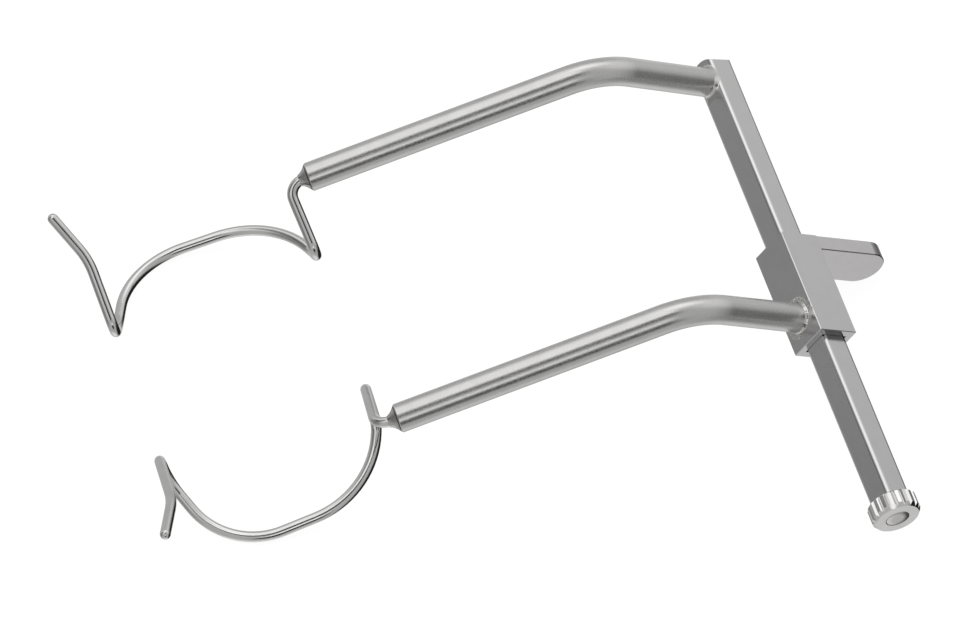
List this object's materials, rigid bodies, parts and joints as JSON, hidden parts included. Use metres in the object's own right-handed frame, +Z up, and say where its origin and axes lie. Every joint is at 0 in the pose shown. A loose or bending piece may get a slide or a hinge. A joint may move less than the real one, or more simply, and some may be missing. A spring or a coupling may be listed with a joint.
{
  "type": "eye speculum",
  "caption": "Wire eye speculum: bent wire blades on knee-bent round arms, spread along a square rail by a fluted screw knob, with a thumb rest on the slider.",
  "frame": {"origin": "on the tray, under the centre of the overall box, with the speculum lying on its thumb rest and the bows of its blades", "axes": "+X runs from the rail towards the blades, +Y along the rail towards the knob, +Z up from the tray"},
  "size_m": [0.0698, 0.0514, 0.0154],
  "materials": {
    "satin_steel": "ground flat, then satin polished stainless steel",
    "arm_steel": "satin stainless steel rod, polished along its length",
    "blade_wire": "bright polished stainless steel wire",
    "knob_steel": "turned and fluted stainless steel, bright flutes, fine satin face",
    "screw_steel": "machined stainless steel",
    "braze": "silver braze, polished over"
  },
  "bodies": {
    "frame": {"rail": "satin_steel", "knob_bearing": "satin_steel", "thrust_washer": "satin_steel", "fixed_arm": "arm_steel", "fixed_arm_bead": "braze", "fixed_blade": "blade_wire", "fixed_blade_braze": "braze"},
    "slider": {"slider_sleeve": "satin_steel", "drive_nut": "screw_steel", "nut_pin": "satin_steel", "thumb_rest": "satin_steel", "thumb_rest_bead": "braze", "moving_arm": "arm_steel", "moving_arm_bead": "braze", "moving_blade": "blade_wire", "moving_blade_braze": "braze"},
    "screw": {"lead_screw": "screw_steel", "screw_collar": "screw_steel", "knob": "knob_steel"}
  },
  "joints": [
    {"name": "knob_turn", "type": "hinge", "parent": "frame", "child": "screw", "pos_m": [-0.02607, 0.02404, 0.00667], "axis": [0, 1, 0], "range_deg": [-8229, 6686]},
    {"name": "slider_travel", "type": "slide", "parent": "frame", "child": "slider", "axis": [0, 1, 0], "range_m": [-0.013, 0.016]}
  ],
  "couplings": [
    {"joint": "knob_turn", "follows": "slider_travel", "rad_per_m": -8976}
  ]
}
